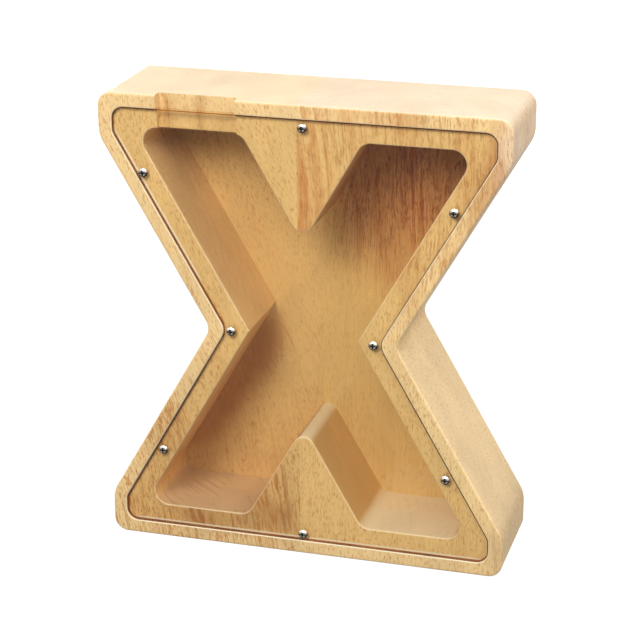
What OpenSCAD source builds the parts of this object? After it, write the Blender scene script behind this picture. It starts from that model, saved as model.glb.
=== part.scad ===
// Wooden money box: an X-shaped cavity routed into a block of two edge-glued planks,
// closed by a clear front panel that eight small screws hold in a rebate.
// Coins go in from the top, through a notch that passes behind the panel.
// Origin: centre of the base. +Z is up, the front faces -Y. Millimetres.

/* [Block] */
// Height of the block
block_h = 210; // [170:1:260]
// Overall width, across the upright flats at its corners
block_w = 183.4; // [150:0.1:220]
// Width across the waist, before it is rounded
waist_w = 85; // [70:1:105]
// Height of the upright flat at each corner, before it is rounded
flat_h = 19.6; // [16:0.1:24]
// Thickness of the block, from front to back
block_t = 51; // [40:1:65]
// Radius of the four outer corners
corner_r = 6.5; // [4:0.5:10]
// Radius where each flat turns into a leaning side
flank_r = 14; // [6:0.5:20]
// Radius of the two hollows at the waist
waist_r = 7; // [4:0.5:12]
// Radius of the round-over along the front and back edges
edge_r = 1.1; // [0.5:0.1:2]
// Distance of the planks' glue joint from the centre line, to the right
joint_x = -2; // [-4:0.5:4]
// Width of the chamfers that ease the inner edges, round the rebate and the cavity
ease = 0.4; // [0.2:0.1:0.8]

/* [Cavity] */
// Width of the wooden rim, from the outer edge to the panel's rebate
rim_w = 6.4; // [5:0.1:8]
// Width of the ledge that carries the panel, from the rebate to the cavity
ledge_w = 8.9; // [7:0.1:11]
// Width of each arm of the X, square to its walls
arm_w = 43; // [34:1:52]
// Thickness of wood left behind the cavity
back_wall = 8.7; // [6:0.1:12]
// Radius of the corners that the router leaves in the cavity
cavity_r = 6.5; // [4:0.5:9]
// Radius at the tips of the two wedges between the arms
wedge_tip_r = 5; // [3:0.5:8]

/* [Front panel] */
// Thickness of the panel, whose front lies flush with the wood
panel_t = 2; // [1.5:0.1:3]
// Gap between the panel's edge and the rebate
panel_gap = 0.4; // [0.15:0.05:0.6]
// Gap that a film of air leaves between the panel and the ledge
seat_gap = 0.05; // [0.02:0.01:0.1]
// Width of the polished bevel round the panel's front
panel_bevel = 0.3; // [0.1:0.1:0.6]
// Radius that the router leaves in the rebate's corners and turns
rebate_r = 5.5; // [4:0.5:8]

/* [Coin slot] */
// Length of the slot, across the block
slot_w = 36; // [28:1:43]
// Clear gap for the coin, between the panel and the wood
slot_gap = 2.6; // [2.2:0.1:3.5]
// Distance from the slot's inner end to the corner of the arm below it
slot_margin = 2; // [1:0.5:4]

/* [Screws] */
// Diameter of the shank, over its thread
screw_d = 2.2; // [1.8:0.1:3]
// Length under the head
screw_len = 9.5; // [8:0.5:14]
// Diameter of the pan head
head_d = 4.2; // [3.5:0.1:5]
// Height of the pan head
head_h = 1.5; // [1.2:0.1:2]
// Distance of each screw from the block's outer edge
screw_inset = 10; // [9:0.1:11.5]
// How far to the right of the middle the top screw is, clear of the glue joint
top_screw_x = 1; // [1:0.5:3]
// How far below the top the upper left screw is
upper_left_drop = 35; // [30:1:50]
// How far below the top the upper right screw is
upper_right_drop = 42; // [30:1:50]
// How far above the base the lower left screw is
lower_left_rise = 44; // [30:1:50]
// How far above the base the lower right screw is
lower_right_rise = 45; // [30:1:50]
// Radial clearance of a shank in the wood
thread_gap = 0.05; // [0.02:0.01:0.1]
// Radial clearance of a shank in the panel
hole_gap = 0.2; // [0.1:0.05:0.4]
// Depth of the pilot hole past the screw's point
pilot_spare = 1; // [0.5:0.5:3]

/* [Hidden] */
$fn = 48;
cut_past = 1; // how far a cutting solid runs past the face it opens
arc_step = 6; // degrees between the points of an outline's arc
edge_steps = 3; // bands in the round-over
dome_step = 15; // degrees between the points of a screw head's dome
wood_left = [0.87, 0.71, 0.46];
wood_right = [0.85, 0.66, 0.40];
clear_panel = [0.88, 0.93, 0.95, 0.35];
chrome = [0.75, 0.76, 0.78];

front = block_t / 2; // height of the front face in the face plane's own frame
panel_back = front - panel_t;
ledge_face = panel_back - seat_gap;
cavity_floor = -front + back_wall;
cavity_inset = rim_w + ledge_w;

// Lean of the sides from the vertical: the arms of the X run parallel to them
lean = atan((block_w - waist_w) / (block_h - 2 * flat_h));

// Distance of a leaning side from the middle at a height, moved in by inset
function side_x(z, inset = 0) =
    waist_w / 2 + abs(z - block_h / 2) * tan(lean) - inset / cos(lean);

// How far above and below the middle a leaning side meets the flats, both moved in by inset
function flank_z(inset) =
    (block_w / 2 - inset - side_x(block_h / 2, inset)) / tan(lean);

// Half width of a wedge where it leaves the cavity's top or bottom wall
wedge_half = side_x(cavity_inset, cavity_inset) - arm_w / cos(lean);
// Distance of a wedge's sharp tip from the top or the base
wedge_reach = cavity_inset + wedge_half / tan(lean);

slot_depth = panel_t + slot_gap;
slot_end = -(wedge_half + slot_margin);

head_rim = head_h / 4; // straight side of the head below its dome
recess_w = head_d * 0.42; // length of each arm of the cross recess, at its bottom
recess_slot = head_d * 0.14; // its width there
recess_depth = head_h * 0.6;
recess_flare = 1.5; // how much wider the recess is at its mouth
point_len = screw_d; // length of the screw's tapered point
point_r = screw_d / 8; // radius of its blunt end

// Each screw's node and its place on the front face, [x, z]
function on_side(side, z) = [side * side_x(z, screw_inset), z];
SCREWS = [
    ["screw_top", [top_screw_x, block_h - screw_inset]],
    ["screw_upper_left", on_side(-1, block_h - upper_left_drop)],
    ["screw_upper_right", on_side(1, block_h - upper_right_drop)],
    ["screw_waist_left", [screw_inset - waist_w / 2, block_h / 2]],
    ["screw_waist_right", [waist_w / 2 - screw_inset, block_h / 2]],
    ["screw_lower_left", on_side(-1, lower_left_rise)],
    ["screw_lower_right", on_side(1, lower_right_rise)],
    ["screw_bottom", [0, screw_inset]],
];

// --- Outlines, drawn in the face plane with x to the right and y up the block ---

function unit(v) = v / norm(v);

// One corner of an outline: the points of an arc of radius r that meets both of its sides
function corner(before, at, after, r) =
    r == 0 ? [at] :
    let (
        u = unit(before - at),
        v = unit(after - at),
        half = acos(u * v) / 2,
        centre = at + unit(u + v) * r / sin(half),
        first = at + u * r / tan(half) - centre,
        last = at + v * r / tan(half) - centre,
        start = atan2(first.y, first.x),
        turn = (atan2(last.y, last.x) - start + 540) % 360 - 180,
        n = ceil(abs(turn) / arc_step - 0.01)
    )
    [for (i = [0:n]) centre + r * [cos(start + turn * i / n), sin(start + turn * i / n)]];

// A closed outline through corners [point, radius], counter-clockwise
function outline(corners) = [
    for (i = [0:len(corners) - 1])
        each corner(
            corners[(i + len(corners) - 1) % len(corners)][0],
            corners[i][0],
            corners[(i + 1) % len(corners)][0],
            corners[i][1]
        )
];

// The block's outline, moved in by inset: corners of radius r, turns of radius flank from the
// flats into the leaning sides, and two hollow waists
function block_outline(inset, r, flank, waist) = let (
        x = block_w / 2 - inset,
        low = inset,
        high = block_h - inset,
        turn = flank_z(inset),
        waist_x = side_x(block_h / 2, inset)
    )
    outline([
        [[-x, low], r],
        [[x, low], r],
        [[x, block_h / 2 - turn], flank],
        [[waist_x, block_h / 2], waist],
        [[x, block_h / 2 + turn], flank],
        [[x, high], r],
        [[-x, high], r],
        [[-x, block_h / 2 + turn], flank],
        [[-waist_x, block_h / 2], waist],
        [[-x, block_h / 2 - turn], flank],
    ]);

// The rebate's outline, made larger all round by grow
function rebate_outline(grow = 0) =
    block_outline(rim_w - grow, rebate_r + grow, rebate_r + grow, waist_r - grow);

// The X: the outline moved in by the rim and the ledge, less a wedge at the top and one below,
// made larger all round by grow
function cavity_outline(grow = 0) = let (
        low = cavity_inset - grow,
        high = block_h - low,
        x = side_x(low, low),
        waist = side_x(block_h / 2, low),
        reach = wedge_reach - grow / sin(lean),
        half = (reach - low) * tan(lean),
        r = cavity_r + grow,
        tip_r = wedge_tip_r - grow
    )
    outline([
        [[-x, low], r],
        [[-half, low], r],
        [[0, reach], tip_r],
        [[half, low], r],
        [[x, low], r],
        [[waist, block_h / 2], 0],
        [[x, high], r],
        [[half, high], r],
        [[0, block_h - reach], tip_r],
        [[-half, high], r],
        [[-x, high], r],
        [[-waist, block_h / 2], 0],
    ]);

// --- Solids ---

// Stands the face plane up, so that its own +Z points out of the front
module upright() {
    rotate([90, 0, 0]) children();
}

// A solid through outlines of as many points each, given as [height, outline] from the back to
// the front. A fan of triangles about the block's middle closes each end.
module loft(levels) {
    n = len(levels[0][1]);
    last = (len(levels) - 1) * n;
    hub = len(levels) * n; // the middle of the back end, followed by that of the front
    polyhedron(
        points = concat(
            [for (level = levels) for (p = level[1]) [p.x, p.y, level[0]]],
            [for (end = [levels[0], levels[len(levels) - 1]]) [0, block_h / 2, end[0]]]
        ),
        faces = [
            for (i = [0:n - 1]) let (next = (i + 1) % n) each concat(
                [[hub, i, next], [hub + 1, last + next, last + i]],
                [for (k = [0:n:last - n]) [k + i, k + n + i, k + n + next, k + next]]
            )
        ]
    );
}

// The whole block, with its front and back edges rounded over
module rounded_block() {
    band = [for (i = [0:edge_steps]) 90 * i / edge_steps];
    insets = concat(
        [for (a = band) [edge_r * (1 - cos(a)) - front, edge_r * (1 - sin(a))]],
        [for (a = band) [front - edge_r * (1 - sin(a)), edge_r * (1 - cos(a))]]
    );
    loft([
        for (level = insets) let (in = level[1])
            [level[0], block_outline(in, corner_r - in, flank_r - in, waist_r + in)]
    ]);
}

// The wood of both planks: the block with its rebate, cavity, coin slot and pilot holes
module carved_block() {
    difference() {
        rounded_block();
        loft([
            [ledge_face, rebate_outline()], [front - ease, rebate_outline()],
            [front, rebate_outline(ease)], [front + cut_past, rebate_outline(ease)],
        ]);
        loft([
            [cavity_floor, cavity_outline()], [ledge_face - ease, cavity_outline()],
            [ledge_face, cavity_outline(ease)], [front + cut_past, cavity_outline(ease)],
        ]);
        translate([slot_end - slot_w, block_h - cavity_inset - cavity_r, front - slot_depth])
            cube([slot_w, cavity_inset + cavity_r + cut_past, slot_depth + cut_past]);
        for (screw = SCREWS)
            translate([screw[1].x, screw[1].y, front - screw_len - pilot_spare])
                cylinder(r = screw_d / 2 + thread_gap, h = screw_len + pilot_spare);
    }
}

module plank_left() {
    color(wood_left) upright() intersection() {
        carved_block();
        translate([-block_w, -cut_past, -block_t])
            cube([block_w + joint_x, block_h + 2 * cut_past, 2 * block_t]);
    }
}

module plank_right() {
    color(wood_right) upright() intersection() {
        carved_block();
        translate([joint_x, -cut_past, -block_t])
            cube([block_w - joint_x, block_h + 2 * cut_past, 2 * block_t]);
    }
}

module front_panel() {
    color(clear_panel) upright() difference() {
        loft([
            [panel_back, rebate_outline(-panel_gap)],
            [front - panel_bevel, rebate_outline(-panel_gap)],
            [front, rebate_outline(-panel_gap - panel_bevel)],
        ]);
        for (screw = SCREWS)
            translate([screw[1].x, screw[1].y, panel_back - cut_past])
                cylinder(r = screw_d / 2 + hole_gap, h = panel_t + 2 * cut_past);
    }
}

// A pan-head screw with a cross recess, its head standing on the panel. The shank is as thick
// as the crests of its thread.
module screw(place) {
    dome = [
        for (a = [90:-dome_step:0])
            [head_d / 2 * sin(a), head_rim + (head_h - head_rim) * cos(a)]
    ];
    color(chrome) upright() translate([place.x, place.y, front]) difference() {
        rotate_extrude() polygon(concat(
            [[0, -screw_len], [point_r, -screw_len]],
            [[screw_d / 2, point_len - screw_len], [screw_d / 2, 0], [head_d / 2, 0]],
            dome
        ));
        for (turn = [0, 90])
            rotate([0, 0, turn]) translate([0, 0, head_h - recess_depth])
                linear_extrude(recess_depth, scale = recess_flare)
                    square([recess_w, recess_slot], center = true);
    }
}

plank_left();
plank_right();
front_panel();
for (item = SCREWS)
    screw(item[1]);
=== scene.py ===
"""Wooden money box: an X-shaped, clear-fronted coin bank.

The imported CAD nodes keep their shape; this script gives them their finish, and adds the floor, the
lamps and the camera. The row frame is in metres: +Z is up and the front faces -Y.
"""
import math

import bpy
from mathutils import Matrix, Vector


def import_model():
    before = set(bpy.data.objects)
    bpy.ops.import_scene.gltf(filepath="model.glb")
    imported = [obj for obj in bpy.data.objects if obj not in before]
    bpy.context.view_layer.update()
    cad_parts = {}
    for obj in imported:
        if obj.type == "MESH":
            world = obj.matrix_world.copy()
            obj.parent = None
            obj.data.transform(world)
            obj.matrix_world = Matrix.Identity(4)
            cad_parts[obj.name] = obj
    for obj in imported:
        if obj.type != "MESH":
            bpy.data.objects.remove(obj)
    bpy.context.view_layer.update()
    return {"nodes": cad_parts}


MM = 0.001


def srgb(red, green, blue):
    """A colour given as 0 to 255 display values, as the linear RGBA that a shader wants."""
    def linear(value):
        v = value / 255
        return v / 12.92 if v <= 0.04045 else ((v + 0.055) / 1.055) ** 2.4
    return (linear(red), linear(green), linear(blue), 1.0)


def grey(level):
    """A linear grey."""
    return (level, level, level, 1.0)


# --- Camera, as fitted to the photograph ---
CAMERA_PLACE = (0.2471, -0.8409, 0.4331)
CAMERA_TURN = (69.436, 0.271, 16.210)  # degrees about X, Y and Z
CAMERA_LENS = 117.3  # mm
CAMERA_SENSOR = 36.0  # mm
CAMERA_REACH = 20.0  # the farthest that it sees

# --- Light ---
AIM = Vector((0.0, 0.0, 0.105))  # the middle of the block
LAMPS = {
    # name: (direction from AIM, distance, side, level). The level is what a white surface at AIM,
    # square to the lamp, would show of it alone.
    "key": ((-0.11, -0.79, 0.63), 1.1, 0.42, 0.575),
    "fill": ((0.55, -0.60, 0.58), 1.3, 1.10, 0.23),
    "right": ((0.60, 0.05, 0.78), 1.5, 0.60, 0.415),
    "left": ((-0.92, 0.35, 0.15), 1.5, 0.80, 0.45),
    "back": ((-0.50, 0.86, 0.00), 1.6, 0.50, 0.42),
}
SKY = 0.05
FLOOR_HALF = 4.0
FLOOR_PAINT = grey(0.28)
FLOOR_GLOW = 0.86  # what the camera and reflections see in addition, near the object
FLOOR_REACH = (0.25, 0.70)  # over these distances from the middle it rises to white


class Graph:
    """The node tree of a new material or world, with one short method for each kind of node."""

    def __init__(self, owner, output):
        owner.use_nodes = True
        self.owner = owner
        self.tree = owner.node_tree
        self.tree.nodes.clear()
        self.output = self.node(output)

    def node(self, kind, inputs=(), **settings):
        made = self.tree.nodes.new(kind)
        for key, value in settings.items():
            setattr(made, key, value)
        for key, value in dict(inputs).items():
            self.feed(made.inputs[key], value)
        return made

    def feed(self, socket, value):
        if isinstance(value, bpy.types.NodeSocket):
            self.tree.links.new(value, socket)
        else:
            socket.default_value = value

    def coordinates(self, kind):
        return self.node("ShaderNodeTexCoord").outputs[kind]

    def place(self):
        """The point in the row frame, in millimetres."""
        return self.vector("MULTIPLY", self.coordinates("Object"), (1 / MM,) * 3)

    def split(self, vector):
        made = self.node("ShaderNodeSeparateXYZ", {0: vector})
        return made.outputs["X"], made.outputs["Y"], made.outputs["Z"]

    def vector(self, operation, a, b=(0, 0, 0)):
        made = self.node("ShaderNodeVectorMath", {0: a, 1: b}, operation=operation)
        return made.outputs["Value" if operation in ("LENGTH", "DOT_PRODUCT") else "Vector"]

    def math(self, operation, a, b=0.0):
        return self.node("ShaderNodeMath", {0: a, 1: b}, operation=operation).outputs[0]

    def absolute(self, value):
        return self.math("ABSOLUTE", value)

    def minus(self, a, b):
        return self.math("SUBTRACT", a, b)

    def times(self, first, *others):
        for other in others:
            first = self.math("MULTIPLY", first, other)
        return first

    def wavered(self, value, patches, reach):
        """The value pushed to and fro by the patches, so that a mask made from it has a free edge."""
        return self.math("ADD", value, self.times(patches, reach))

    def leaned(self, vector, degrees):
        """The vector turned about Y, so that a line leaning that far to the left stands upright."""
        made = self.node(
            "ShaderNodeMapping", {"Vector": vector, "Rotation": (0, math.radians(degrees), 0)}
        )
        return made.outputs["Vector"]

    def noise(self, vector, scale, detail=2.0, roughness=0.5, output="Fac"):
        """Noise whose features are about 1/scale wide along each axis."""
        made = self.node(
            "ShaderNodeTexNoise",
            {
                "Vector": self.vector("MULTIPLY", vector, scale),
                "Scale": 1.0,
                "Detail": detail,
                "Roughness": roughness,
            },
        )
        return made.outputs[output]

    def centred(self, vector, scale, detail):
        """Noise about 0 and not about 0.5."""
        return self.minus(self.noise(vector, scale, detail), 0.5)

    def stripes(self, distance, scale, detail):
        """Noise along a line: bands of uneven width."""
        made = self.node(
            "ShaderNodeTexNoise",
            {"W": distance, "Scale": scale, "Detail": detail},
            noise_dimensions="1D",
        )
        return made.outputs["Fac"]

    def smooth(self, value, low, high, to_low=0.0, to_high=1.0):
        """A smooth step from to_low to to_high as value goes from low to high."""
        made = self.node(
            "ShaderNodeMapRange",
            {"Value": value, "From Min": low, "From Max": high, "To Min": to_low, "To Max": to_high},
            interpolation_type="SMOOTHSTEP",
        )
        return made.outputs["Result"]

    def within(self, value, rise, fall):
        """1 between the rise and the fall. Each is a pair: where it is still 0, and where it is 1."""
        return self.times(self.smooth(value, *rise), self.smooth(value, *fall))

    def fade(self, share, at_none, at_full):
        """A level that goes from at_none to at_full as the share goes from 0 to 1."""
        return self.smooth(share, 0.0, 1.0, at_none, at_full)

    def mix(self, share, a, b, blend="MIX"):
        made = self.node("ShaderNodeMix", {0: share, 6: a, 7: b}, data_type="RGBA", blend_type=blend)
        return made.outputs[2]

    def shaded(self, colour, level):
        """The colour made lighter or darker by a level that varies over the surface."""
        made = self.node("ShaderNodeVectorMath", {0: colour, "Scale": level}, operation="SCALE")
        return made.outputs["Vector"]

    def bump(self, height, strength, distance):
        made = self.node(
            "ShaderNodeBump", {"Height": height, "Strength": strength, "Distance": distance}
        )
        return made.outputs["Normal"]

    def show(self, shader):
        self.tree.links.new(shader, self.output.inputs["Surface"])
        return self.owner


def material_graph(name):
    return Graph(bpy.data.materials.new(name), "ShaderNodeOutputMaterial")


# --- Wood: where its masks are ---
# Millimetres. "In" is the distance in from the block's outline. A pair says where a mask is 0 and
# where it is full; two pairs say how it rises and how it falls.

MIDDLE = 105.0  # height of the waist
HALF_WAIST = 42.5
HALF_WIDTH = 91.7  # at the upright flats
LEAN = math.radians(29.95)  # of the sides

# How far in each part of the front starts, and from where to where it goes on Y.
CAVITY_IN = (15.0, 15.2)
CAVITY_DEPTH = ((-23.4, -23.2), (21.0, 20.0))  # from the ledge to inside the back wall
LEDGE_IN = (6.5, 6.7)
LEDGE_DEPTH = ((-24.4, -24.2), (0.0, -1.0))
SIDEWAYS = (0.35, 0.15)  # how far a face's normal goes along Y: little, where it is a wall

# The line round the panel: a dark tint on the rebate's wall, painted shade in the gap between the
# panel and the rim. It stands for the dark line in the photograph, whose cause is a guess: shade,
# or burning by the cutter.
GROOVE_IN = ((6.1, 6.3), (12.6, 11.6))
GROOVE_DEPTH = ((-25.15, -24.9), (-23.2, -23.4))
GROOVE_SHADE = srgb(96, 40, 0)
GROOVE_SHARE = (0.68, 1.0)  # in general, and where the wall faces down and right
GROOVE_TURN = (0.6, 0.95)  # how much it faces that way, from the one to the other
DOWN_RIGHT = (0.7, 0.0, -0.7)
# On the lower left a strip of the ledge beside the wall has the painted shade too.
STRIP_IN = (7.2, 7.0)
STRIP_ACROSS = (-42.0, -48.0)
STRIP_HEIGHT = (104.0, 98.0)

# A painted highlight: a pale line on the ledge inside the dark one, along the bottom and the upper
# left, for light that the panel's edge gathers. It stands for the photograph's bright line, which
# may be light that the panel's edge gathers.
GLINT_IN = ((6.8, 7.0), (7.8, 7.6))
GLINT_BOTTOM_HEIGHT = (14.0, 10.0)
GLINT_BOTTOM_ACROSS = (86.0, 76.0)  # to either side
GLINT_LEFT_HEIGHT = ((112.0, 120.0), (196.0, 186.0))
GLINT_LEFT_ACROSS = (-44.0, -50.0)
GLINT = srgb(255, 244, 214)
GLINT_SHARE = 0.80

# Eased edges, painted paler as a painted highlight along them.
EASED_HIGHLIGHT = srgb(255, 238, 202)
EASED_TURN = ((0.2, 0.45), (0.98, 0.85))  # how far the normal goes along Y on an eased edge
EASED_SHARE = (0.85, 0.40)  # round the rebate, and round the cavity
EASED_SHARE_IN = (10.0, 12.0)  # in, from the one to the other
EASED_OUTSIDE = 0.2  # how much of that the outer edges have
EASED_OUTSIDE_IN = (2.0, 4.0)

LEDGE_TINT = srgb(243, 232, 211)  # the ledge's, which makes it a little deeper than the rim

# A darker tone in the back of the two upper arms, with its own lines and pores: painted shade under
# the top wall and beside the upper wedge, and on the right plank darker, streakier wood as well. It
# stands for what the photograph shows there, which may be shade, heartwood or both.
SHADE_AND_DARK_WOOD_DEPTH = (-14.0, 8.0)  # on Y
SHADE_AND_DARK_WOOD_WANDER = 70.0
SHADE_AND_DARK_WOOD_BESIDE = 0.25  # what is left of it beside the arm
SHADE_AND_DARK_WOOD_BETWEEN_STREAKS = 0.60  # and between the plank's streaks
SHADE_AND_DARK_WOOD_LINE = srgb(176, 98, 56)
SHADE_AND_DARK_WOOD_PORE = srgb(104, 46, 26)

# Painted shade: a slightly darker band along the foot of the lower left wall. A slightly
# darker band along the foot of the lower left wall, which may be shade as well.
FOOT_SHADE = srgb(222, 194, 184)
FOOT_IN = (31.0, 20.0)
FOOT_WANDER = 20.0
FOOT_DEPTH = (10.0, 16.0)
FOOT_HEIGHT = ((20.0, 34.0), (104.0, 92.0))
FOOT_ACROSS = (-16.0, -26.0)

# Fine arcs that the cutter has left on end grain in the cavity.
SWIRL = srgb(120, 74, 42)
SWIRL_SETS = (((-88.0, -44.0, 0.0), 4.2), ((-30.0, 30.0, 0.0), 5.1))  # centre and pitch of each
SWIRL_LINE = (0.09, 0.0)  # half the width of a line, as a share of the pitch

# --- Wood: its figure ---

# Noise. Each scale is in features to the millimetre, along X, Y and Z.
WANDER_SCALE = (0.016, 0.016, 0.008)
WANDER_REACH = (22.0, 22.0, 0.0)  # of the grain from side to side
PATCH_SCALE = (0.03, 0.03, 0.015)
CLOUD_SCALE = (0.05, 0.05, 0.025)
CLOUD_LEVELS = (0.94, 1.04)  # of the colour
FIBRE_SCALE = (2.4, 2.4, 0.05)
FIBRE_LEVELS = (0.95, 1.03)
USUAL_NOISE = (0.3, 0.7)  # between which most of a noise lies
CROWD_SCALE = (0.07, 0.07, 0.035)
CROWD_REACH = 0.14  # by which pores and dashes are crowded in some places and few in others
LAYERS = {
    # name: (scale, detail, roughness, the two noise values between which the layer comes in)
    "streaks": ((0.42, 0.42, 0.012), 3.0, 0.6, (0.50, 0.70)),
    "pores": ((1.8, 1.8, 0.42), 1.0, 0.4, (0.54, 0.70)),
    "dashes": ((1.15, 1.15, 0.12), 2.0, 0.5, (0.53, 0.66)),
    "shade_and_dark_wood_lines": ((0.75, 0.75, 0.02), 3.0, 0.6, (0.50, 0.62)),
    "swirl_gaps": ((0.10, 0.10, 0.10), 1.0, 0.5, (0.42, 0.60)),
}
RING_DETAIL = 4.0
RING_EDGES = (0.38, 0.64)
FIGURE_WANDER = 120.0  # of the height at which a board's figure grows strong
PORES_IN_CAVITY = (0.70, 1.25)  # their strength low in the cavity and high in it
PORE_HEIGHTS = (118.0, 160.0)
PORE_WANDER = 60.0

# Stains. A stain's edge is counted in its half sizes from its middle.
STAIN_EDGE = (1.2, 0.3)
STAIN_WANDER = 1.6
STAIN_BETWEEN_STREAKS = 0.55  # what is left of it there
STAIN_IN_CAVITY = 0.05

END_TURN = (0.25, 0.95)  # how far the normal goes along Z, from side grain to end grain
# The pale tint of end grain is partly its own tone and partly a painted highlight.
END_TONE_AND_HIGHLIGHT_SHARE = 0.75
BACK_TURN = (0.2, 0.8)  # how far it goes along Y, from the cavity's walls to its back

# Gloss and relief.
WOOD_ROUGHNESS = (0.46, 0.56)
WOOD_SPECULAR = 0.2
WOOD_RELIEF = 0.06
WOOD_RELIEF_DEPTH = 0.1 * MM
FIBRE_RELIEF = 0.4
PORE_RELIEF = 0.5

# What differs between the two planks. Places and widths are in millimetres. A pair of shares is
# for where the board's figure is quiet and where it is strong.
LEFT_PLANK = {
    "lean": 14.0,  # of the grain to the left, in degrees
    "pith": (-60.0, 150.0, 0.0),  # far behind the block: its rings lie nearly flat to the front
    "ring_scale": 0.10,
    "ring_share": (0.10, 0.40),
    "pale": srgb(249, 214, 154),
    "deep": srgb(226, 178, 114),
    "streak": srgb(182, 124, 68),
    "streak_share": (0.08, 0.50),
    "figure": (100.0, 55.0),  # heights where the figure is quiet and strong
    "fleck": srgb(186, 108, 24),
    "pore_share": (0.44, 0.62),
    "dash_share": (0.08, 0.62),
    "worn": 0.30,  # what is left of rings, streaks and dashes in the cavity
    "stains": [
        # place across and up, half width, half height, colour, share
        (-61.0, 202.0, 6.0, 16.0, srgb(176, 116, 54), 0.65),
        (-46.0, 205.0, 5.0, 18.0, srgb(186, 124, 60), 0.75),
        (-36.0, 192.0, 7.0, 14.0, srgb(186, 124, 64), 0.35),
        (-40.0, 17.0, 46.0, 13.0, srgb(156, 92, 36), 0.66),
        (-47.0, 204.0, 20.0, 9.0, srgb(206, 150, 86), 0.35),
        (-62.0, 62.0, 16.0, 26.0, srgb(170, 112, 56), 0.16),
        (-14.0, 26.0, 12.0, 24.0, srgb(160, 100, 46), 0.35),
    ],
    # The darker tone in the back of the upper arm (painted shade, and on the right plank darker wood
    # too), the places across and up over which it comes in, and the shares of its lines and pores.
    "shade_and_dark_wood": srgb(158, 122, 122),
    "shade_and_dark_wood_across": (-34.0, -52.0),
    "shade_and_dark_wood_heights": (160.0, 190.0),
    "shade_and_dark_wood_lines": 0.3,
    "shade_and_dark_wood_pores": 0.25,
    # Tints of the cavity's back, of its walls and of their end grain.
    "routed": srgb(229, 218, 193),
    "routed_wall": srgb(255, 242, 222),
    "routed_end": srgb(216, 198, 178),
    "swirl_share": 0.55,
    # Pale end grain, partly a painted highlight.
    "end_grain": srgb(246, 223, 190),
}
RIGHT_PLANK = {
    "lean": 2.0,
    "pith": (52.0, -34.0, 0.0),  # just in front of the block: its rings show as arcs on top
    "ring_scale": 0.17,
    "ring_share": (0.12, 0.46),
    "pale": srgb(250, 216, 156),
    "deep": srgb(224, 172, 106),
    "streak": srgb(196, 124, 66),
    "streak_share": (0.08, 0.40),
    "figure": (95.0, 150.0),
    "fleck": srgb(182, 104, 26),
    "pore_share": (0.46, 0.36),
    "dash_share": (0.06, 0.42),
    "worn": 1.0,
    "stains": [
        (3.0, 164.0, 9.0, 30.0, srgb(216, 146, 86), 0.60),
        (91.0, 14.0, 9.0, 20.0, srgb(160, 130, 104), 0.40),
        (91.0, 194.0, 8.0, 26.0, srgb(250, 226, 204), 0.80),
        (68.0, 128.0, 12.0, 18.0, srgb(196, 112, 66), 0.18),
        (83.0, 180.0, 7.0, 26.0, srgb(196, 110, 46), 0.66),
        (26.0, 208.0, 26.0, 8.0, srgb(214, 150, 88), 0.50),
    ],
    "shade_and_dark_wood": srgb(206, 146, 124),
    "shade_and_dark_wood_across": (-2.0, 16.0),
    "shade_and_dark_wood_heights": (104.0, 150.0),
    "shade_and_dark_wood_lines": 0.4,
    "shade_and_dark_wood_pores": 0.75,
    "routed": srgb(231, 220, 189),
    "routed_wall": srgb(228, 200, 144),
    "routed_end": srgb(244, 243, 230),
    "swirl_share": 0.15,
    # Pale end grain, partly a painted highlight.
    "end_grain": srgb(244, 226, 202),
}


def layer(g, name, vector, crowd=0.0):
    """One of the LAYERS, from 0 to 1. Where crowd is above 0 its marks are more and wider."""
    scale, detail, roughness, comes_in = LAYERS[name]
    noise = g.math("ADD", g.noise(vector, scale, detail, roughness), crowd)
    return g.smooth(noise, *comes_in)


def distance_in(g, x, z):
    """How far in from the block's outline, before the outline is rounded."""
    from_middle = g.absolute(g.minus(z, MIDDLE))
    side = g.math("ADD", g.times(from_middle, math.tan(LEAN)), HALF_WAIST)
    from_side = g.times(g.minus(side, g.absolute(x)), math.cos(LEAN))
    nearest = g.math("MINIMUM", from_side, g.minus(MIDDLE, from_middle))
    return g.math("MINIMUM", nearest, g.minus(HALF_WIDTH, g.absolute(x)))


def cuts(g, place, inset, forward):
    """Masks of the cavity, the ledge, the painted shade round the panel and the painted highlight
    inside it.
    """
    x, y, z = g.split(place)
    cavity = g.times(g.smooth(inset, *CAVITY_IN), g.within(y, *CAVITY_DEPTH))
    ledge = g.times(
        g.smooth(inset, *LEDGE_IN), g.within(y, *LEDGE_DEPTH), g.minus(1.0, cavity)
    )
    groove_shade = g.times(
        g.within(inset, *GROOVE_IN), g.smooth(forward, *SIDEWAYS), g.within(y, *GROOVE_DEPTH)
    )
    shade_strip = g.times(
        ledge,
        g.smooth(inset, *STRIP_IN),
        g.smooth(x, *STRIP_ACROSS),
        g.smooth(z, *STRIP_HEIGHT),
    )
    bottom = g.times(
        g.smooth(z, *GLINT_BOTTOM_HEIGHT), g.smooth(g.absolute(x), *GLINT_BOTTOM_ACROSS)
    )
    upper_left = g.times(g.smooth(x, *GLINT_LEFT_ACROSS), g.within(z, *GLINT_LEFT_HEIGHT))
    glint = g.times(g.math("MAXIMUM", bottom, upper_left), ledge, g.within(inset, *GLINT_IN))
    return cavity, ledge, g.math("MAXIMUM", groove_shade, shade_strip), glint


def stained(g, colour, place, patches, streaks, cavity, plank):
    """The colour with the plank's patches of another tone, most of them darker."""
    along = g.times(
        g.fade(streaks, STAIN_BETWEEN_STREAKS, 1.0), g.fade(cavity, 1.0, STAIN_IN_CAVITY)
    )
    for across, height, half_width, half_height, tint, share in plank["stains"]:
        away = g.vector("SUBTRACT", place, (across, 0.0, height))
        away = g.vector("MULTIPLY", away, (1 / half_width, 0.0, 1 / half_height))
        near = g.wavered(g.vector("LENGTH", away), patches, STAIN_WANDER)
        colour = g.mix(g.times(g.smooth(near, *STAIN_EDGE, 0.0, share), along), colour, tint)
    return colour


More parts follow.
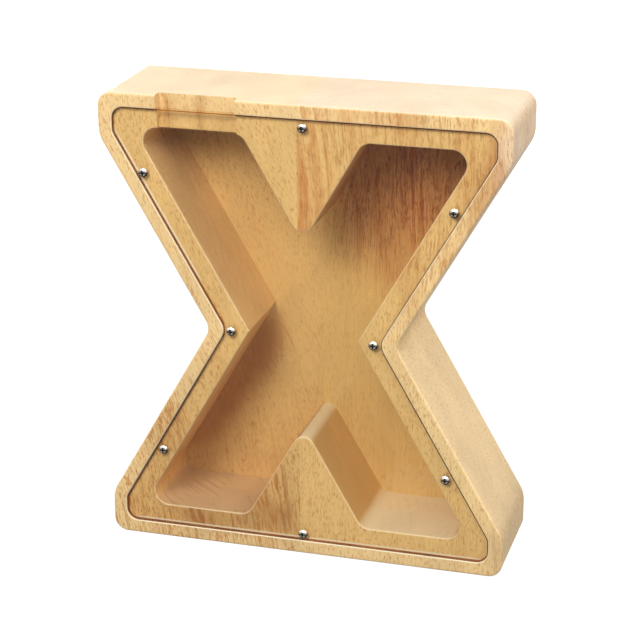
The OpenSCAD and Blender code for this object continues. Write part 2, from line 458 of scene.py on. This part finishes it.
def deepened(g, colour, place, grain, patches, streaks, marks, inset, cavity, plank):
    """The colour with painted shade in the back of the upper arm, with darker wood there on the right
    plank, and painted shade along the foot of the lower wall.
    """
    across, depth, height = g.split(place)
    shade_and_dark_wood = g.times(
        g.smooth(g.wavered(height, patches, SHADE_AND_DARK_WOOD_WANDER), *plank["shade_and_dark_wood_heights"]),
        g.smooth(across, *plank["shade_and_dark_wood_across"], SHADE_AND_DARK_WOOD_BESIDE, 1.0),
        g.smooth(depth, *SHADE_AND_DARK_WOOD_DEPTH),
        g.fade(streaks, SHADE_AND_DARK_WOOD_BETWEEN_STREAKS, 1.0),
        cavity,
    )
    lines = layer(g, "shade_and_dark_wood_lines", grain)
    colour = g.mix(g.times(shade_and_dark_wood, lines, plank["shade_and_dark_wood_lines"]), colour, SHADE_AND_DARK_WOOD_LINE)
    # Painted shade, with darker wood on the right plank, in the back of the upper arm.
    colour = g.mix(shade_and_dark_wood, colour, plank["shade_and_dark_wood"], "MULTIPLY")
    colour = g.mix(g.times(shade_and_dark_wood, marks, plank["shade_and_dark_wood_pores"]), colour, SHADE_AND_DARK_WOOD_PORE)
    # Painted shade along the foot of the lower left wall.
    foot_shade = g.times(
        g.smooth(g.wavered(inset, patches, FOOT_WANDER), *FOOT_IN),
        g.smooth(depth, *FOOT_DEPTH),
        g.within(height, *FOOT_HEIGHT),
        g.smooth(across, *FOOT_ACROSS),
        cavity,
    )
    return g.mix(foot_shade, colour, FOOT_SHADE, "MULTIPLY")


def swirls(g, place):
    """Fine arcs round the centres in SWIRL_SETS, as lines that come and go."""
    lines = 0.0
    for centre, pitch in SWIRL_SETS:
        away = g.vector("MULTIPLY", g.vector("SUBTRACT", place, centre), (1, 1, 0))
        turns = g.times(g.vector("LENGTH", away), 1 / pitch)
        lines = g.math("MAXIMUM", g.smooth(g.math("PINGPONG", turns, 0.5), *SWIRL_LINE), lines)
    return g.times(lines, layer(g, "swirl_gaps", place))


def wood(name, plank):
    """Oiled, fine-sanded timber with its grain along Z: ring bands, long streaks and short pores."""
    g = material_graph(name)
    place = g.place()
    across, _, height = g.split(place)
    normal = g.coordinates("Normal")
    forward, upright = g.split(normal)[1:]
    forward = g.absolute(forward)
    inset = distance_in(g, across, height)
    cavity, ledge, groove_shade, glint = cuts(g, place, inset, forward)

    # The grain wanders a few millimetres from side to side along the board.
    wander = g.noise(place, WANDER_SCALE, detail=1.0, output="Color")
    wander = g.vector("MULTIPLY", g.vector("SUBTRACT", wander, (0.5, 0.5, 0.5)), WANDER_REACH)
    grain = g.leaned(g.vector("ADD", place, wander), plank["lean"])

    patches = g.centred(place, PATCH_SCALE, detail=2.0)
    figure = g.smooth(g.wavered(height, patches, FIGURE_WANDER), *plank["figure"])
    fibres = g.noise(grain, FIBRE_SCALE)
    clouds = g.noise(place, CLOUD_SCALE)

    from_pith = g.vector("MULTIPLY", g.vector("SUBTRACT", grain, plank["pith"]), (1, 1, 0))
    rings = g.stripes(g.vector("LENGTH", from_pith), plank["ring_scale"], RING_DETAIL)
    rings = g.smooth(rings, *RING_EDGES)
    streaks = layer(g, "streaks", grain)
    crowd = g.times(g.centred(place, CROWD_SCALE, detail=1.0), CROWD_REACH)
    dashes = layer(g, "dashes", grain, crowd)
    pores = layer(g, "pores", grain, crowd)
    in_cavity = g.smooth(g.wavered(height, patches, PORE_WANDER), *PORE_HEIGHTS, *PORES_IN_CAVITY)
    pores = g.mix(cavity, pores, g.times(pores, in_cavity))

    end_grain = g.smooth(g.absolute(upright), *END_TURN)
    side_grain = g.minus(1.0, end_grain)
    worn = g.fade(cavity, 1.0, plank["worn"])

    def share(pair, *others):
        return g.times(g.fade(figure, *plank[pair]), *others)

    colour = g.mix(share("ring_share", rings, worn), plank["pale"], plank["deep"])
    colour = g.mix(share("streak_share", streaks, worn), colour, plank["streak"])
    colour = stained(g, colour, place, patches, streaks, cavity, plank)
    # End grain paler, partly as a painted highlight.
    colour = g.mix(g.times(end_grain, END_TONE_AND_HIGHLIGHT_SHARE), colour, plank["end_grain"])
    colour = g.mix(share("dash_share", dashes, side_grain, worn), colour, plank["fleck"])
    colour = g.mix(share("pore_share", pores, side_grain), colour, plank["fleck"])
    colour = g.shaded(colour, g.smooth(fibres, *USUAL_NOISE, *FIBRE_LEVELS))
    colour = g.shaded(colour, g.smooth(clouds, *USUAL_NOISE, *CLOUD_LEVELS))

    marks = g.math("MAXIMUM", pores, dashes)
    colour = deepened(g, colour, place, grain, patches, streaks, marks, inset, cavity, plank)
    routed = g.mix(g.smooth(forward, *BACK_TURN), plank["routed_wall"], plank["routed"])
    routed = g.mix(end_grain, routed, plank["routed_end"])
    colour = g.mix(cavity, colour, routed, "MULTIPLY")
    arcs = g.times(swirls(g, place), cavity, end_grain, plank["swirl_share"])
    colour = g.mix(arcs, colour, SWIRL)

    colour = g.mix(ledge, colour, LEDGE_TINT, "MULTIPLY")
    # A painted highlight on the eased edges.
    eased_highlight = g.times(
        g.within(forward, *EASED_TURN),
        g.smooth(inset, *EASED_OUTSIDE_IN, EASED_OUTSIDE, 1.0),
        g.smooth(inset, *EASED_SHARE_IN, *EASED_SHARE),
    )
    colour = g.mix(eased_highlight, colour, EASED_HIGHLIGHT)
    turn = g.vector("DOT_PRODUCT", normal, DOWN_RIGHT)
    # The painted shade round the panel, darkest where the rebate's wall faces down and right.
    colour = g.mix(g.times(groove_shade, g.smooth(turn, *GROOVE_TURN, *GROOVE_SHARE)), colour, GROOVE_SHADE)
    # The painted highlight on the ledge inside it.
    colour = g.mix(g.times(glint, GLINT_SHARE), colour, GLINT)

    relief = g.minus(g.times(fibres, FIBRE_RELIEF), g.times(pores, side_grain, PORE_RELIEF))
    surface = g.node(
        "ShaderNodeBsdfPrincipled",
        {
            "Base Color": colour,
            "Roughness": g.smooth(fibres, *USUAL_NOISE, *WOOD_ROUGHNESS),
            "Specular IOR Level": WOOD_SPECULAR,
            "Normal": g.bump(relief, WOOD_RELIEF, WOOD_RELIEF_DEPTH),
        },
    )
    return g.show(surface.outputs[0])


# --- Clear panel ---

PANEL_COLOUR = srgb(254, 254, 252)
PANEL_IOR = 1.49
PANEL_CLEARNESS = 0.86  # share of the light that goes straight through, with no glare
PANEL_ROUGHNESS = (0.01, 0.04)
SMUDGE_SCALE = (0.08, 0.08, 0.05)
SMUDGE_EDGES = (0.4, 0.7)
# The sawn edge, painted brown as shade in the gap round the panel, like the painted shade on the
# rebate's wall.
SAWN_SHADE = srgb(126, 64, 16)
SAWN_SHADE_PALE = srgb(164, 98, 40)
SAWN_SHARE = 0.85
SAWN_ROUGHNESS = 0.45


def acrylic(name):
    """Clear sheet that bends and mirrors light and lets the lamps through, with its sawn edge painted
    brown as shade.
    """
    g = material_graph(name)
    smudges = g.noise(g.place(), SMUDGE_SCALE, detail=3.0)
    glass = g.node(
        "ShaderNodeBsdfPrincipled",
        {
            "Base Color": PANEL_COLOUR,
            "Roughness": g.smooth(smudges, *SMUDGE_EDGES, *PANEL_ROUGHNESS),
            "IOR": PANEL_IOR,
            "Transmission Weight": 1.0,
        },
    )
    clear = g.node("ShaderNodeBsdfTransparent", {"Color": PANEL_COLOUR})
    path = g.node("ShaderNodeLightPath")
    lamps = g.math("MAXIMUM", path.outputs["Is Shadow Ray"], path.outputs["Is Diffuse Ray"])
    straight = g.math("MAXIMUM", lamps, PANEL_CLEARNESS)
    sheet = g.node("ShaderNodeMixShader", {0: straight, 1: glass.outputs[0], 2: clear.outputs[0]})
    # The sawn edge, painted brown as shade.
    sawn_shade = g.node(
        "ShaderNodeBsdfPrincipled",
        {
            "Base Color": g.mix(g.smooth(smudges, *USUAL_NOISE), SAWN_SHADE, SAWN_SHADE_PALE),
            "Roughness": SAWN_ROUGHNESS,
            "Specular IOR Level": 0.0,
        },
    )
    forward = g.absolute(g.split(g.coordinates("Normal"))[1])
    edge = g.smooth(forward, *SIDEWAYS, 0.0, SAWN_SHARE)
    both = g.node("ShaderNodeMixShader", {0: edge, 1: sheet.outputs[0], 2: sawn_shade.outputs[0]})
    return g.show(both.outputs[0])


# --- Screws ---
# Radii are shares of the head's. Depths are shares of the screw's length, from the top of the head.

SCREW_LENGTH = 11.0  # mm
THREAD_PITCH = 0.9  # mm
THREAD_RELIEF_DEPTH = 0.25 * MM
THREAD_ROOT = (0.45, 0.1)  # how far from a root to a crest the grime reaches
THREAD_GRIME = 0.6
SHANK_DEPTH = (0.16, 0.18)
RECESS_RADIUS = (0.62, 0.5)
RECESS_DEPTH = (0.025, 0.05)
RIM_RADIUS = (0.50, 0.76)
RIM_TURN = (0.22, 0.0)  # how far the normal goes up: the rim has a painted dark reflection where it faces down
UNDERSIDE_TURN = (0.5, 0.2)  # how far it goes along Y: the head's underside has no dark rim
# How dark the recess (grime and painted shade) and the lower rim (painted dark reflection) are.
HEAD_GRIME_SHADE_AND_REFLECTION = 0.96
PALE_TURN = (0.26, 0.42)  # and the plating is pale where it faces up, as a painted reflection
SCUFF_SCALE = (3.0, 3.0, 3.0)
SCREW_ROUGHNESS = (0.14, 0.26)
PLATING = srgb(176, 168, 158)
PLATING_WORN = srgb(146, 138, 128)
# The pale plating is a painted reflection on the head's upper side.
PLATING_PALE_REFLECTION = srgb(255, 252, 246)
# Grime, painted shade in the recess and a painted dark reflection on the lower rim.
GRIME_SHADE_AND_REFLECTION = srgb(16, 13, 11)


def chrome(name):
    """Bright plating with fine scuffs, a thread, and grime with painted shade in the recess. The
    head's pale upper side and dark lower rim are painted reflections, of things that aren't built
    here.
    """
    g = material_graph(name)
    scuffs = g.noise(g.place(), SCUFF_SCALE, detail=3.0)
    # Generated coordinates run from 0 to 1 across the head, and from its top to the point.
    from_axis = g.vector("SUBTRACT", g.coordinates("Generated"), (0.5, 0.0, 0.5))
    x, down, z = g.split(from_axis)
    radius = g.vector("LENGTH", g.vector("MULTIPLY", from_axis, (2.0, 0.0, 2.0)))
    backward, upward = g.split(g.coordinates("Normal"))[1:]
    # A painted dark reflection on the lower rim; grime and painted shade in the recess.
    dark_reflection_rim = g.times(
        g.smooth(radius, *RIM_RADIUS), g.smooth(upward, *RIM_TURN), g.smooth(backward, *UNDERSIDE_TURN)
    )
    recess = g.times(g.smooth(radius, *RECESS_RADIUS), g.smooth(down, *RECESS_DEPTH))
    shank = g.smooth(down, *SHANK_DEPTH)

    turn = g.times(g.math("ARCTAN2", z, x), 1 / (2 * math.pi))
    climb = g.math("ADD", g.times(down, SCREW_LENGTH / THREAD_PITCH), turn)
    crest = g.times(g.math("PINGPONG", climb, 0.5), 2.0, shank)

    grime_shade_and_reflection = g.times(g.math("MAXIMUM", dark_reflection_rim, recess), g.minus(1.0, shank), HEAD_GRIME_SHADE_AND_REFLECTION)
    grime_shade_and_reflection = g.math("MAXIMUM", grime_shade_and_reflection, g.times(g.smooth(crest, *THREAD_ROOT), shank, THREAD_GRIME))
    plating = g.mix(scuffs, PLATING, PLATING_WORN)
    # A painted reflection: the plating is pale where it faces up.
    plating = g.mix(g.smooth(upward, *PALE_TURN), plating, PLATING_PALE_REFLECTION)
    surface = g.node(
        "ShaderNodeBsdfPrincipled",
        {
            "Base Color": g.mix(grime_shade_and_reflection, plating, GRIME_SHADE_AND_REFLECTION),
            "Metallic": 1.0,
            "Roughness": g.smooth(scuffs, *USUAL_NOISE, *SCREW_ROUGHNESS),
            "Normal": g.bump(crest, 1.0, THREAD_RELIEF_DEPTH),
        },
    )
    return g.show(surface.outputs[0])


# --- Stage ---

def added(name, data):
    """A new object in the scene, with that mesh, light or camera."""
    made = bpy.data.objects.new(name, data)
    bpy.context.scene.collection.objects.link(made)
    return made


def seen(g):
    """1 where the camera looks, straight or in metal and glass; 0 where the light is gathered."""
    path = g.node("ShaderNodeLightPath")
    share = g.math("MAXIMUM", path.outputs["Is Camera Ray"], path.outputs["Is Glossy Ray"])
    return g.math("MAXIMUM", share, path.outputs["Is Transmission Ray"])


def floor_material():
    """Floor that takes the object's shadow, and is white to the camera and in reflections."""
    g = material_graph("stage_white")
    paint = g.node("ShaderNodeBsdfDiffuse", {"Color": FLOOR_PAINT})
    away = g.times(g.vector("LENGTH", g.place()), MM)
    strength = g.smooth(away, *FLOOR_REACH, FLOOR_GLOW, 1.0)
    glow = g.node("ShaderNodeEmission", {"Color": grey(1.0), "Strength": strength})
    white = g.node("ShaderNodeAddShader", {0: paint.outputs[0], 1: glow.outputs[0]})
    mixed = g.node("ShaderNodeMixShader", {0: seen(g), 1: paint.outputs[0], 2: white.outputs[0]})
    return g.show(mixed.outputs[0])


def floor():
    corners = [(-1, -1), (1, -1), (1, 1), (-1, 1)]
    mesh = bpy.data.meshes.new("floor")
    mesh.from_pydata([(x * FLOOR_HALF, y * FLOOR_HALF, 0) for x, y in corners], [], [(0, 1, 2, 3)])
    mesh.materials.append(floor_material())
    added("floor", mesh)


def world():
    g = Graph(bpy.data.worlds.new("studio"), "ShaderNodeOutputWorld")
    strength = g.fade(seen(g), SKY, 1.0)
    sky = g.node("ShaderNodeBackground", {"Color": grey(1.0), "Strength": strength})
    bpy.context.scene.world = g.show(sky.outputs[0])


def lamp(name, direction, distance, side, level):
    """A square soft box that faces AIM. A lamp of 4 pi watts, a metre away, has a level of 1."""
    data = bpy.data.lights.new(name, "AREA")
    data.shape = "SQUARE"
    data.size = side
    data.energy = level * 4 * math.pi * distance ** 2
    made = added(name, data)
    towards = Vector(direction).normalized()
    made.location = AIM + towards * distance
    made.rotation_euler = (-towards).to_track_quat("-Z", "Y").to_euler()


def camera():
    data = bpy.data.cameras.new("camera")
    data.lens = CAMERA_LENS
    data.sensor_width = CAMERA_SENSOR
    data.clip_end = CAMERA_REACH
    made = added("camera", data)
    made.location = CAMERA_PLACE
    made.rotation_euler = [math.radians(a) for a in CAMERA_TURN]
    bpy.context.scene.camera = made


def dress(node, material):
    node.data.materials.clear()
    node.data.materials.append(material)


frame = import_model()

camera()
world()
floor()
for name, facts in LAMPS.items():
    lamp(name, *facts)

screw_finish = chrome("screw_chrome")
finishes = {
    "plank_left": wood("wood_left", LEFT_PLANK),
    "plank_right": wood("wood_right", RIGHT_PLANK),
    "front_panel": acrylic("clear_panel"),
}
for name, node in frame["nodes"].items():
    dress(node, finishes.get(name, screw_finish))

bpy.context.scene.view_settings.view_transform = "Standard"
